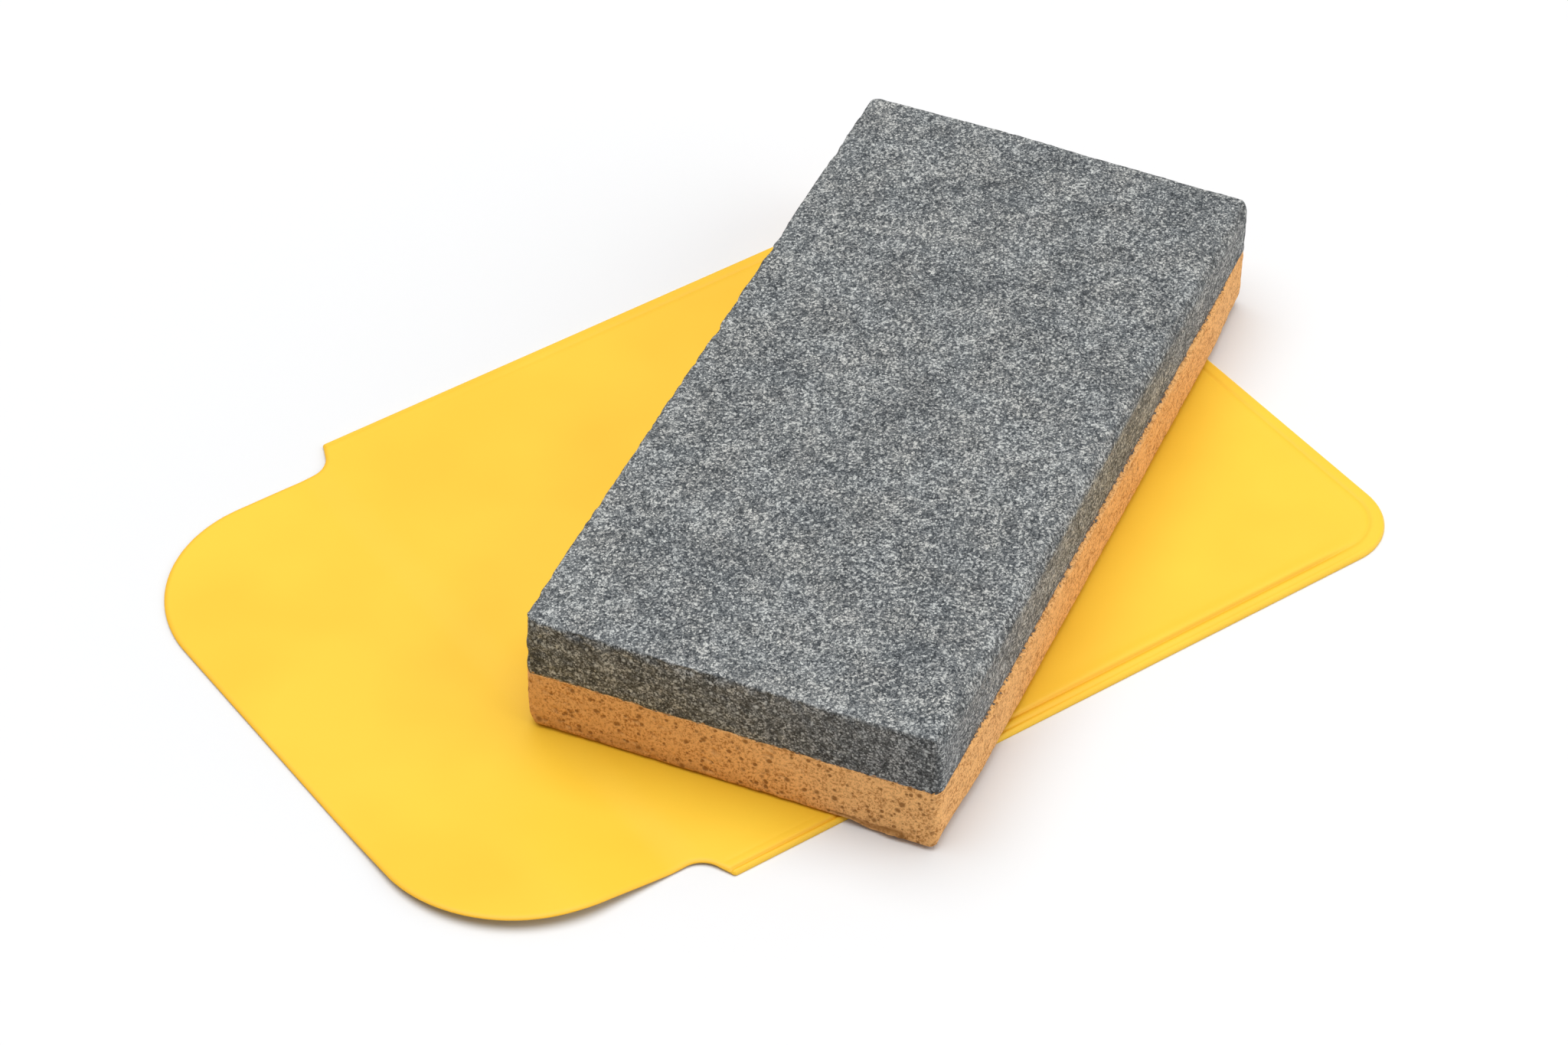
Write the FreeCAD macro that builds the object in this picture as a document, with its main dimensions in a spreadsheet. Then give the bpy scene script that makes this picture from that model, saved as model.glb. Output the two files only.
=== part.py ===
"""Two-grit sharpening stone lying across its flat vinyl slip sleeve.

Millimetres. The sleeve lies on the ground plane with its front panel down. The origin is the centre
of the sleeve's outline on that plane, +X points to the sleeve's closed end and +Z is up.
"""
import FreeCAD, Part
import os

import Sketcher

doc = FreeCAD.newDocument("sharpening_stone")
sheet = doc.addObject("Spreadsheet::Sheet", "dims")

DRIVING_DIMENSIONS = (
    # the stone: two grits pressed together as one block
    ("stone_length", 79.6),
    ("stone_width", 38.4),
    ("fine_thickness", 6.3),
    ("coarse_thickness", 6.2),
    ("stone_corner", 0.9),  # radius of the four upright edges
    ("stone_edge", 0.5),  # radius round the top and the bottom face
    # how the stone lies on the sleeve
    ("stone_centre_x", 13.92),
    ("stone_centre_y", -3.52),
    ("stone_turn", 31.85),  # degrees from +X to the stone's length
    # the sleeve: two vinyl sheets welded along three sides
    ("sheet_thickness", 0.25),
    ("pocket_gap", 0.05),
    ("sleeve_length", 99.2),  # closed end to the tip of the flap
    ("sleeve_width", 66.5),
    ("pocket_length", 75.1),  # closed end to the mouth
    ("weld_width", 1.8),
    ("end_corner", 6.0),  # outer radius at the closed end
    ("end_reach", 8.0),  # how far the closed end's weld runs back along the sides
    # the neck between the mouth and the fold, and the flap beyond it
    ("neck_length", 4.2),
    ("shoulder_width", 66.0),
    ("shoulder_run", 1.2),
    ("shoulder_round", 2.4),
    ("flap_width", 60.2),
    ("flap_corner", 13.3),
)
for row, (alias, value) in enumerate(DRIVING_DIMENSIONS, start=1):
    sheet.set(f"A{row}", alias)
    sheet.set(f"B{row}", str(value))
    sheet.setAlias(f"B{row}", alias)
doc.recompute()

# sizes worked out from the driving dimensions, as expressions
POCKET_INNER_LENGTH = "dims.pocket_length - dims.weld_width"
POCKET_INNER_WIDTH = "dims.sleeve_width - 2 * dims.weld_width"
SIDE_WELD_LENGTH = "dims.pocket_length - dims.end_reach"
INNER_CORNER = "dims.end_corner - dims.weld_width"
RIM_THICKNESS = "2 * dims.sheet_thickness + dims.pocket_gap"
BACK_PANEL_Z = "dims.sheet_thickness + dims.pocket_gap"
MOUTH_X = "dims.sleeve_length / 2 - dims.pocket_length"
FOLD_X = MOUTH_X + " - dims.neck_length"
TOLERANCE = 1e-4


def origin_plane(body, role):
    """The body's own origin plane with this role."""
    return next(plane for plane in body.Origin.OriginFeatures if plane.Role == role)


def new_body(label, x="0", y="0", z="0"):
    """A body named after its piece, placed by expressions on the sheet."""
    body = doc.addObject("PartDesign::Body", label)
    body.Label = label
    for axis, expression in (("x", x), ("y", y), ("z", z)):
        body.setExpression(f".Placement.Base.{axis}", expression)
    return body


def closed_sketch(body, name, corners):
    """A sketch on the body's XY plane with straight sides through the corners.

    Each corner is a pair of expressions for its X and Y, and both are held by named constraints.
    """
    sketch = body.newObject("Sketcher::SketchObject", name)
    sketch.AttachmentSupport = [(origin_plane(body, "XY_Plane"), "")]
    sketch.MapMode = "FlatFace"
    points = [
        FreeCAD.Vector(*(float(sheet.evalExpression(value)) for value in corner), 0)
        for corner in corners
    ]
    count = len(points)
    for side in range(count):
        sketch.addGeometry(Part.LineSegment(points[side], points[(side + 1) % count]), False)
    for side in range(count):
        sketch.addConstraint(Sketcher.Constraint("Coincident", side, 2, (side + 1) % count, 1))
    for side, corner in enumerate(corners):
        place = (points[side].x, points[side].y)
        for kind, word, value, expression in zip(("DistanceX", "DistanceY"), "xy", place, corner):
            index = sketch.addConstraint(Sketcher.Constraint(kind, -1, 1, side, 1, value))
            sketch.renameConstraint(index, f"corner_{side}_{word}")
            sketch.setExpression(f"Constraints.corner_{side}_{word}", expression)
    return sketch


def rectangle(x_low, x_high, width):
    """The corners of a rectangle centred across the X axis."""
    return (
        (x_low, f"-({width}) / 2"),
        (x_high, f"-({width}) / 2"),
        (x_high, f"({width}) / 2"),
        (x_low, f"({width}) / 2"),
    )


def pad(body, sketch, thickness):
    """Pads the sketch upwards by a thickness given as an expression."""
    feature = body.newObject("PartDesign::Pad", f"{sketch.Name}_pad")
    feature.Profile = sketch
    feature.setExpression("Length", thickness)
    sketch.Visibility = False
    doc.recompute()
    return feature


def fillet(body, base, name, picked, radius):
    """Rounds the edges of base for which picked(edge) is true."""
    names = [f"Edge{i}" for i, edge in enumerate(base.Shape.Edges, start=1) if picked(edge)]
    feature = body.newObject("PartDesign::Fillet", name)
    feature.Base = (base, names)
    feature.setExpression("Radius", radius)
    doc.recompute()
    return feature


def is_upright(edge):
    """True for an edge along Z."""
    box = edge.BoundBox
    return box.XLength < TOLERANCE and box.YLength < TOLERANCE


def upright_at(x):
    """A test for upright edges at this X."""
    return lambda edge: is_upright(edge) and abs(edge.BoundBox.XMin - x) < TOLERANCE


def level_at(z):
    """A test for edges that lie in the plane at this Z."""
    return lambda edge: abs(edge.BoundBox.ZMin - z) + abs(edge.BoundBox.ZMax - z) < TOLERANCE


def grit_layer(label, thickness, z, face_z):
    """One grit of the stone: a block with rounded uprights and one rounded working face."""
    body = new_body(label, "dims.stone_centre_x", "dims.stone_centre_y", z)
    body.Placement.Rotation = FreeCAD.Rotation(FreeCAD.Vector(0, 0, 1), sheet.stone_turn)
    outline = rectangle("-dims.stone_length / 2", "dims.stone_length / 2", "dims.stone_width")
    block = pad(body, closed_sketch(body, f"{label}_outline", outline), thickness)
    corners = fillet(body, block, f"{label}_corners", is_upright, "dims.stone_corner")
    fillet(body, corners, f"{label}_edge", level_at(face_z), "dims.stone_edge")
    return body


def side_weld(label, y_centre):
    """A straight weld, as thick as both sheets, from the mouth to the closed end's corner."""
    body = new_body(label, MOUTH_X, y_centre)
    outline = rectangle("0", SIDE_WELD_LENGTH, "dims.weld_width")
    pad(body, closed_sketch(body, f"{label}_outline", outline), RIM_THICKNESS)
    return body


def closed_end_weld():
    """The weld across the closed end, with both of its rounded corners."""
    label = "closed_end_weld"
    body = new_body(label, "dims.sleeve_length / 2 - dims.end_reach")
    outline = rectangle("0", "dims.end_reach", "dims.sleeve_width")
    block = pad(body, closed_sketch(body, f"{label}_outline", outline), RIM_THICKNESS)
    outer_corners = upright_at(sheet.end_reach)
    fillet(body, block, f"{label}_outer_corners", outer_corners, "dims.end_corner")
    inner_x = "dims.end_reach - dims.weld_width"
    inside = closed_sketch(body, f"{label}_inside", rectangle("0", inner_x, POCKET_INNER_WIDTH))
    pocket = body.newObject("PartDesign::Pocket", f"{label}_pocket")
    pocket.Profile = inside
    pocket.Type = "ThroughAll"
    pocket.Reversed = True
    doc.recompute()
    inner_corners = upright_at(sheet.end_reach - sheet.weld_width)
    fillet(body, pocket, f"{label}_inner_corners", inner_corners, INNER_CORNER)
    return body


def pocket_panel(label, z):
    """One sheet of the pocket, inside the welds, with the closed end's corners rounded."""
    body = new_body(label, MOUTH_X, "0", z)
    outline = rectangle("0", POCKET_INNER_LENGTH, POCKET_INNER_WIDTH)
    panel = pad(body, closed_sketch(body, f"{label}_outline", outline), "dims.sheet_thickness")
    far_corners = upright_at(sheet.pocket_length - sheet.weld_width)
    fillet(body, panel, f"{label}_corners", far_corners, INNER_CORNER)
    return body


def add_neck(body):
    """The back panel's neck: from the mouth out to the fold, with hollow shoulders."""
    half_flap = "dims.flap_width / 2"
    half_shoulder = "dims.shoulder_width / 2"
    corners = (
        ("-dims.neck_length", f"-{half_flap}"),
        ("-dims.shoulder_run", f"-{half_flap}"),
        ("0", f"-{half_shoulder}"),
        ("0", half_shoulder),
        ("-dims.shoulder_run", half_flap),
        ("-dims.neck_length", half_flap),
    )
    neck = pad(body, closed_sketch(body, "neck_outline", corners), "dims.sheet_thickness")
    shoulders = upright_at(-sheet.shoulder_run)
    fillet(body, neck, "neck_shoulders", shoulders, "dims.shoulder_round")


def tuck_flap():
    """The flap, from the fold to its tip, with two large rounded corners."""
    label = "tuck_flap"
    body = new_body(label, FOLD_X, "0", BACK_PANEL_Z)
    tip_x = "dims.sleeve_length - dims.pocket_length - dims.neck_length"
    outline = rectangle(f"-({tip_x})", "0", "dims.flap_width")
    flap = pad(body, closed_sketch(body, f"{label}_outline", outline), "dims.sheet_thickness")
    tip = upright_at(flap.Shape.BoundBox.XMin)
    fillet(body, flap, f"{label}_corners", tip, "dims.flap_corner")
    return body


weld_y = "(dims.sleeve_width - dims.weld_width) / 2"
back_panel = pocket_panel("sleeve_back_panel", BACK_PANEL_Z)
add_neck(back_panel)
pieces = [
    pocket_panel("sleeve_front_panel", "0"),
    back_panel,
    side_weld("near_side_weld", f"-{weld_y}"),
    side_weld("far_side_weld", weld_y),
    closed_end_weld(),
    tuck_flap(),
    grit_layer("fine_grit_layer", "dims.fine_thickness", RIM_THICKNESS, 0.0),
    grit_layer(
        "coarse_grit_layer",
        "dims.coarse_thickness",
        f"{RIM_THICKNESS} + dims.fine_thickness",
        sheet.coarse_thickness,
    ),
]
doc.recompute()

for item in doc.Objects:
    if "Invalid" in item.State or "Error" in item.State:
        raise RuntimeError(f"{item.Label} did not recompute: {item.State}")

os.makedirs("parts", exist_ok=True)
for piece in pieces:
    if piece.Shape.isNull() or not piece.Shape.isValid():
        raise RuntimeError(f"{piece.Label} has no valid shape")
    piece.Shape.exportStep(os.path.join("parts", f"{piece.Label}.step"))
    box = piece.Shape.BoundBox
    print(
        f"{piece.Label}: {piece.Shape.Volume:.2f} mm3, {len(piece.Shape.Solids)} solid,"
        f" x {box.XMin:.2f}..{box.XMax:.2f}, y {box.YMin:.2f}..{box.YMax:.2f},"
        f" z {box.ZMin:.2f}..{box.ZMax:.2f}"
    )
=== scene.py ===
"""A two-grit sharpening stone lying across its flat yellow vinyl slip sleeve.

The stone is one pressed block of a coarse grey grit over a fine orange grit. The sleeve is two
vinyl sheets welded along three sides, and the back sheet runs on past the mouth into a tuck flap.
Shapes are worked out in millimetres, in the frame's own axes, and written to the meshes in metres.
"""

import itertools
import math

import bpy
import numpy as np
from bpy.props import FloatProperty, FloatVectorProperty, PointerProperty
from bpy.types import Operator, Panel, PropertyGroup
from mathutils import Matrix, Vector


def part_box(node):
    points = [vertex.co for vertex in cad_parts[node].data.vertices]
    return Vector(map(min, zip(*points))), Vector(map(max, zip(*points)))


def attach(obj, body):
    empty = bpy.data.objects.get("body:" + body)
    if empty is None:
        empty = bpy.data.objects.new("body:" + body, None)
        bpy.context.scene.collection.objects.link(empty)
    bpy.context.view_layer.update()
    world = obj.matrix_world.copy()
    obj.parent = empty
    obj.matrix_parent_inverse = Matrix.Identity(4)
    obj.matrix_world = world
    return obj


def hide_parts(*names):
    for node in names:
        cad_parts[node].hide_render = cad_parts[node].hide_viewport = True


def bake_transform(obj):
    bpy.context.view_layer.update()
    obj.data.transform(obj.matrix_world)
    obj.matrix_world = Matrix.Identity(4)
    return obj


bl_info = {
    "name": "Sharpening Stone and Sleeve",
    "version": (1, 0, 0),
    "blender": (4, 5, 0),
    "location": "View3D > Sidebar > Sharpening Stone",
    "description": "Builds a two-grit sharpening stone lying on its vinyl slip sleeve",
    "category": "Add Mesh",
}

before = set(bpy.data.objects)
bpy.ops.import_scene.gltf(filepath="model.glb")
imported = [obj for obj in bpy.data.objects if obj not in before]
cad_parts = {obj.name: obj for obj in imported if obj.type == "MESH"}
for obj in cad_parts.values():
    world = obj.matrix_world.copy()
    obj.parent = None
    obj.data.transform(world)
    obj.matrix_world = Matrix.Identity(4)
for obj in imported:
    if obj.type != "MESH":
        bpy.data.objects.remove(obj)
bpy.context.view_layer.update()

MM = 0.001  # one millimetre in metres


# ---------------------------------------------------------------- sizes from the frame


def node_points(node):
    """The corners of a CAD node's mesh, in millimetres."""
    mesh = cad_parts[node].data
    flat = np.empty(len(mesh.vertices) * 3, np.float32)
    mesh.vertices.foreach_get("co", flat)
    return flat.reshape(-1, 3).astype(float) / MM


def node_box(node):
    """The lowest and the highest corner of a CAD node, in millimetres."""
    low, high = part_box(node)
    return np.array(low) / MM, np.array(high) / MM


class StonePlace:
    """Where the stone lies: its centre, its turn about Z, its half sizes and its three levels.

    The turn is the direction in which the coarse layer's corners spread the most, and the half
    sizes are half of their spread along and across that direction.
    """

    def __init__(self):
        points = node_points("coarse_grit_layer")
        low, high = node_box("coarse_grit_layer")
        self.centre = (low + high)[:2] / 2
        plan = points[:, :2] - self.centre
        spread = np.linalg.eigh(plan.T @ plan)[1][:, 1]
        self.along = spread * np.sign(spread[0])
        self.across = np.array([-self.along[1], self.along[0]])
        self.half_length = np.abs(plan @ self.along).max()
        self.half_width = np.abs(plan @ self.across).max()
        self.bottom = node_box("fine_grit_layer")[0][2]
        self.middle = low[2]
        self.top = high[2]

    def to_frame(self, points):
        """Turns points from the stone's own axes (along, across, up) to the frame's."""
        plan = points[:, :1] * self.along + points[:, 1:2] * self.across + self.centre
        return np.column_stack([plan, points[:, 2]])

    def outside(self, x, y):
        """How far each place on the sleeve is outside the stone's outline, in plan."""
        plan = np.stack([x, y], axis=-1) - self.centre
        over_length = np.abs(plan @ self.along) - self.half_length
        over_width = np.abs(plan @ self.across) - self.half_width
        return np.hypot(np.maximum(over_length, 0), np.maximum(over_width, 0))


class SleevePlace:
    """The sleeve's outline and its levels, read from the nodes of its panels and welds."""

    def __init__(self):
        front_low, front_high = node_box("sleeve_front_panel")
        back_low, back_high = node_box("sleeve_back_panel")
        end_high = node_box("closed_end_weld")[1]
        flap_low, flap_high = node_box("tuck_flap")
        weld_low, weld_high = node_box("far_side_weld")
        self.tip_x = flap_low[0]
        self.fold_x = flap_high[0]
        self.mouth_x = front_low[0]
        self.end_x = end_high[0]
        self.half_width = end_high[1]
        self.half_shoulder = back_high[1]
        self.half_flap = flap_high[1]
        self.weld_width = weld_high[1] - weld_low[1]
        self.front_top = front_high[2]
        self.back_bottom = back_low[2]
        self.top = back_high[2]


# ---------------------------------------------------------------- noise on whole arrays


def hashed(cell, seed):
    """A number from 0 to 1 for each whole-number cell.

    The three cell numbers and the seed are multiplied by odd constants and added, and the sum is
    stirred twice by a shift, an exclusive or and another odd factor.
    """
    whole = cell.astype(np.int64).astype(np.uint64)
    mixed = whole[..., 0] * np.uint64(374761393) + whole[..., 1] * np.uint64(668265263)
    mixed = mixed + whole[..., 2] * np.uint64(2246822519) + np.uint64(seed * 3266489917)
    mixed = (mixed ^ (mixed >> np.uint64(15))) * np.uint64(2654435761)
    mixed = (mixed ^ (mixed >> np.uint64(13))) * np.uint64(1274126177)
    mixed = (mixed ^ (mixed >> np.uint64(16))) & np.uint64(0xFFFFFFFF)
    return mixed.astype(float) / 0xFFFFFFFF


def smooth(t):
    """Eases t from 0 to 1: 3t^2 - 2t^3, held at 0 and 1 outside."""
    t = np.clip(t, 0, 1)
    return t * t * (3 - 2 * t)


def value_noise(points, size, seed):
    """Smooth noise from -1 to 1: hashed values at the eight corners of each cell of this size,
    mixed by how far the point is along each side of the cell."""
    place = points / size
    cell = np.floor(place)
    share = smooth(place - cell)
    total = np.zeros(len(points))
    for corner in itertools.product((0, 1), repeat=3):
        weight = np.prod(np.where(corner, share, 1 - share), axis=1)
        total += weight * hashed(cell + corner, seed)
    return 2 * total - 1


def layered_noise(points, size, seed, layers=3):
    """Value noise at the given size and at halves of it, each layer half as strong."""
    strengths = [0.5**layer for layer in range(layers)]
    noise = [
        strength * value_noise(points, size * strength, seed + layer)
        for layer, strength in enumerate(strengths)
    ]
    return sum(noise) / sum(strengths)


def pits(points, spacing, radius, seed, share):
    """Round pits, 0 at the surface and 1 at the bottom.

    Each cell of the spacing has one centre at a hashed place and, in the given share of the cells,
    a pit there of depth 1 - (distance / size)^2, where size is 0.6 to 1 of the radius.
    """
    depth = np.zeros(len(points))
    base = np.floor(points / spacing)
    for step in itertools.product((-1, 0, 1), repeat=3):
        cell = base + step
        jitter = np.stack([hashed(cell, seed + axis) for axis in range(3)], axis=-1)
        size = radius * (0.6 + 0.4 * hashed(cell, seed + 3))
        distance = np.linalg.norm(points - (cell + jitter) * spacing, axis=1) / size
        here = hashed(cell, seed + 4) < share
        depth = np.maximum(depth, here * np.clip(1 - distance**2, 0, 1))
    return depth


# ---------------------------------------------------------------- meshes


def make_piece(name, points, quads, material, attributes=None):
    """A shaded object at the origin from points in millimetres and four-cornered faces."""
    mesh = bpy.data.meshes.new(name)
    mesh.from_pydata((points * MM).tolist(), [], quads.tolist())
    for key, values in (attributes or {}).items():
        layer = mesh.attributes.new(key, "FLOAT", "POINT")
        layer.data.foreach_set("value", values.astype(np.float32))
    mesh.shade_smooth()
    mesh.materials.append(material)
    piece = bpy.data.objects.new(name, mesh)
    bpy.context.scene.collection.objects.link(piece)
    return piece


def corner_normals(points, quads):
    """Outward unit normals at the points: each face's diagonals crossed, summed and made unit."""
    first = points[quads[:, 2]] - points[quads[:, 0]]
    second = points[quads[:, 3]] - points[quads[:, 1]]
    face = np.cross(first, second)
    total = np.stack(
        [
            np.bincount(quads.ravel(), np.repeat(face[:, axis], 4), len(points))
            for axis in range(3)
        ],
        axis=1,
    )
    return total / np.maximum(np.linalg.norm(total, axis=1, keepdims=True), 1e-12)


def grid_line(half, band, fine, wide):
    """Positions from -half to half, in fine steps within the band at each end."""
    edge = np.linspace(half - band, half, round(band / fine) + 1)
    middle = np.linspace(band - half, half - band, round(2 * (half - band) / wide) + 1)
    return np.concatenate([-edge[::-1], middle[1:-1], edge])


def box_surface(u, v, w):
    """The six sides of a box as one closed surface.

    Each side is a grid of two of the three coordinates with the third held at an end. Corners are
    numbered by their places in u, v and w, so two sides that meet share their points.
    """
    counts = (len(u), len(v), len(w))
    sides = []
    for axis in range(3):
        first, second = (axis + 1) % 3, (axis + 2) % 3
        a, b = np.meshgrid(
            np.arange(counts[first] - 1), np.arange(counts[second] - 1), indexing="ij"
        )
        low_ring = ((0, 0), (0, 1), (1, 1), (1, 0))
        for end, ring in ((0, low_ring), (counts[axis] - 1, low_ring[::-1])):
            corners = np.zeros((*a.shape, 4, 3), int)
            corners[..., axis] = end
            for place, (step_a, step_b) in enumerate(ring):
                corners[..., place, first] = a + step_a
                corners[..., place, second] = b + step_b
            sides.append(corners.reshape(-1, 4, 3))
    numbers = np.ravel_multi_index(np.concatenate(sides).reshape(-1, 3).T, counts)
    kept, quads = np.unique(numbers, return_inverse=True)
    i, j, k = np.unravel_index(kept, counts)
    return np.stack([u[i], v[j], w[k]], axis=1), quads.reshape(-1, 4)


def square_to_disc(a, b):
    """Carries the square rings max(a, b) = r to the circles of radius r."""
    length = np.hypot(a, b)
    scale = np.maximum(a, b) / np.maximum(length, 1e-9)
    return a * scale, b * scale


# ---------------------------------------------------------------- materials


class Nodes:
    """A short way to build one material's node tree."""

    def __init__(self, name):
        self.material = bpy.data.materials.new(name)
        self.material.use_nodes = True
        self.tree = self.material.node_tree
        self.shader = self.tree.nodes["Principled BSDF"]
        self.place = self.add("ShaderNodeTexCoord").outputs["Object"]

    def add(self, kind, inputs=None, **settings):
        """Adds a node, sets its own settings, and links or sets its inputs by name or number."""
        node = self.tree.nodes.new(kind)
        for key, value in settings.items():
            setattr(node, key, value)
        for key, value in (inputs or {}).items():
            self.feed(node.inputs[key], value)
        return node

    def feed(self, socket, value):
        """Links an output to the socket, or sets the socket's own value."""
        if isinstance(value, bpy.types.NodeSocket):
            self.tree.links.new(value, socket)
        else:
            socket.default_value = value

    def math(self, operation, first, second=0.0, clamp=False):
        """One arithmetic step."""
        node = self.add("ShaderNodeMath", {0: first, 1: second}, operation=operation)
        node.use_clamp = clamp
        return node.outputs[0]

    def remap(self, value, low, high, to_low=0.0, to_high=1.0):
        """Carries the range low..high to to_low..to_high and holds the ends."""
        node = self.add(
            "ShaderNodeMapRange",
            {
                "Value": value,
                "From Min": low,
                "From Max": high,
                "To Min": to_low,
                "To Max": to_high,
            },
        )
        return node.outputs["Result"]

    def noise(self, size, detail=2.0, roughness=0.5):
        """Noise from 0 to 1 whose features are about this size, in metres."""
        node = self.add(
            "ShaderNodeTexNoise",
            {"Vector": self.place, "Scale": 1 / size, "Detail": detail, "Roughness": roughness},
        )
        return node.outputs["Fac"]

    def cells(self, size):
        """Cells of about this size, in metres: (distance from the centre, colour of the cell)."""
        node = self.add("ShaderNodeTexVoronoi", {"Vector": self.place, "Scale": 1 / size})
        return node.outputs["Distance"], node.outputs["Color"]

    def channel(self, colour, which):
        """One channel of a colour."""
        return self.add("ShaderNodeSeparateColor", {"Color": colour}).outputs[which]

    def attribute(self, name):
        """The value that the mesh holds under this name."""
        return self.add("ShaderNodeAttribute", attribute_name=name).outputs["Fac"]

    def ramp(self, value, stops):
        """A colour ramp through (position, colour) stops."""
        node = self.add("ShaderNodeValToRGB", {"Fac": value})
        elements = node.color_ramp.elements
        while len(elements) < len(stops):
            elements.new(1.0)
        for element, (position, colour) in zip(elements, stops):
            element.position = position
            element.color = (*colour, 1.0)
        return node.outputs["Color"]

    def mix(self, share, first, second, blend="MIX"):
        """Mixes two colours."""
        node = self.add("ShaderNodeMix", data_type="RGBA", blend_type=blend)
        self.feed(node.inputs[0], share)
        self.feed(node.inputs[6], first)
        self.feed(node.inputs[7], second)
        return node.outputs[2]

    def bump(self, height, depth, strength=1.0, below=None):
        """A bump of this depth in metres, over another bump if one is given."""
        inputs = {"Height": height, "Distance": depth, "Strength": strength}
        if below is not None:
            inputs["Normal"] = below
        return self.add("ShaderNodeBump", inputs).outputs["Normal"]

    def finish(self, colour, roughness, specular, normal=None):
        """Links or sets the shader's own sockets, and hands back the material."""
        self.feed(self.shader.inputs["Base Color"], colour)
        self.feed(self.shader.inputs["Roughness"], roughness)
        self.feed(self.shader.inputs["Specular IOR Level"], specular)
        if normal is not None:
            self.feed(self.shader.inputs["Normal"], normal)
        return self.material


def coarse_grit_material(settings):
    """Pressed grey silicon-carbide grit.

    Two sizes of cell give each grain its own grey, and the gaps between grains are dark. Noise at
    three larger sizes blurs the cells together, clumps them and makes cloudy patches. The lapped
    working face has the full contrast of cut grains, and the moulded sides are darker, except that
    the right-hand side is given part of the cut face's paler colouring as a painted highlight. A few
    larger grains are dark flecks, and a few are bright flecks, which are partly pale grains and
    partly painted glints. Crumbs of the fine grit stick near the seam, slow noise warms and cools
    the grey, and the working face is paler along its edges, partly as wear and partly as a painted
    highlight. Dark grains are rougher.
    """
    nodes = Nodes("coarse_grit")
    gap, grain = nodes.cells(settings.grain_size)
    small_gap, small_grain = nodes.cells(settings.grain_size * 0.55)
    speckle = nodes.math(
        "ADD",
        nodes.math("MULTIPLY", nodes.channel(grain, "Red"), 0.55),
        nodes.math("MULTIPLY", nodes.channel(small_grain, "Green"), 0.45),
    )
    blur = nodes.noise(settings.grain_size * 1.6, 3.0, 0.6)
    speckle = nodes.math("ADD", speckle, nodes.remap(blur, 0.3, 0.7, -0.09, 0.09))
    clumps = nodes.remap(nodes.noise(0.0012, 2.0), 0.3, 0.7, -0.10, 0.10)
    clouds = nodes.remap(nodes.noise(0.0055, 3.0), 0.3, 0.7, -0.06, 0.06)
    speckle = nodes.math("ADD", speckle, nodes.math("ADD", clumps, clouds))
    hollows = nodes.remap(gap, 0.50, 0.85, 0.0, 0.14)
    speckle = nodes.math("SUBTRACT", speckle, hollows, clamp=True)
    cut_face = nodes.ramp(
        speckle,
        [
            (0.10, (0.016, 0.020, 0.025)),
            (0.35, (0.080, 0.090, 0.097)),
            (0.58, (0.170, 0.180, 0.182)),
            (0.90, (0.560, 0.570, 0.550)),
        ],
    )
    lumps = nodes.remap(nodes.noise(settings.grain_size * 2.2, 2.0, 0.5), 0.3, 0.7, -0.13, 0.13)
    moulded = nodes.ramp(
        nodes.math("ADD", speckle, lumps),
        [
            (0.12, (0.012, 0.013, 0.013)),
            (0.40, (0.066, 0.069, 0.069)),
            (0.60, (0.132, 0.135, 0.132)),
            (0.92, (0.430, 0.430, 0.415)),
        ],
    )
    # The lapped value also gives the right-hand side part of the cut face's paler colouring, as a painted
    # highlight.
    lapped = nodes.attribute("lapped")
    colour = nodes.mix(lapped, moulded, cut_face)
    distance, fleck = nodes.cells(settings.grain_size * 2.4)
    # Bright flecks: partly pale grains and partly painted glints.
    pale_grain_glint = nodes.math("GREATER_THAN", nodes.channel(fleck, "Red"), 0.90)
    dark = nodes.math("GREATER_THAN", nodes.channel(fleck, "Green"), 0.88)
    inside = nodes.remap(distance, 0.25, 0.50, 0.60, 0.0)
    colour = nodes.mix(nodes.math("MULTIPLY", dark, inside), colour, (0.030, 0.034, 0.036, 1.0))
    colour = nodes.mix(nodes.math("MULTIPLY", pale_grain_glint, inside), colour, (0.56, 0.57, 0.55, 1.0))
    colour = nodes.mix(seam_crumbs(nodes), colour, (0.50, 0.26, 0.10, 1.0))
    warmth = nodes.ramp(
        nodes.noise(0.0042, 2.0),
        [(0.35, (0.99, 1.00, 1.01)), (0.65, (1.02, 1.00, 0.98))],
    )
    colour = nodes.mix(1.0, colour, warmth, "MULTIPLY")
    # Paler along the working face's edges: partly wear and partly a painted highlight.
    edge = nodes.math("MULTIPLY", nodes.attribute("edge"), nodes.remap(blur, 0.4, 0.7))
    colour = nodes.mix(nodes.math("MULTIPLY", edge, 0.30), colour, (0.42, 0.43, 0.42, 1.0))
    roughness = nodes.remap(speckle, 0.3, 0.9, 0.75, 0.42)
    height = nodes.math("SUBTRACT", speckle, nodes.math("MULTIPLY", small_gap, 0.4))
    return nodes.finish(colour, roughness, 0.45, nodes.bump(height, 0.00006, 0.55))


def seam_crumbs(nodes):
    """Where crumbs of the other grit stick: noise lumps that thin out away from the seam."""
    lumps = nodes.noise(0.00042, 2.0, 0.6)
    away = nodes.math("MULTIPLY", nodes.attribute("seam"), 1.4)
    return nodes.remap(nodes.math("SUBTRACT", lumps, away), 0.45, 0.55)


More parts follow.
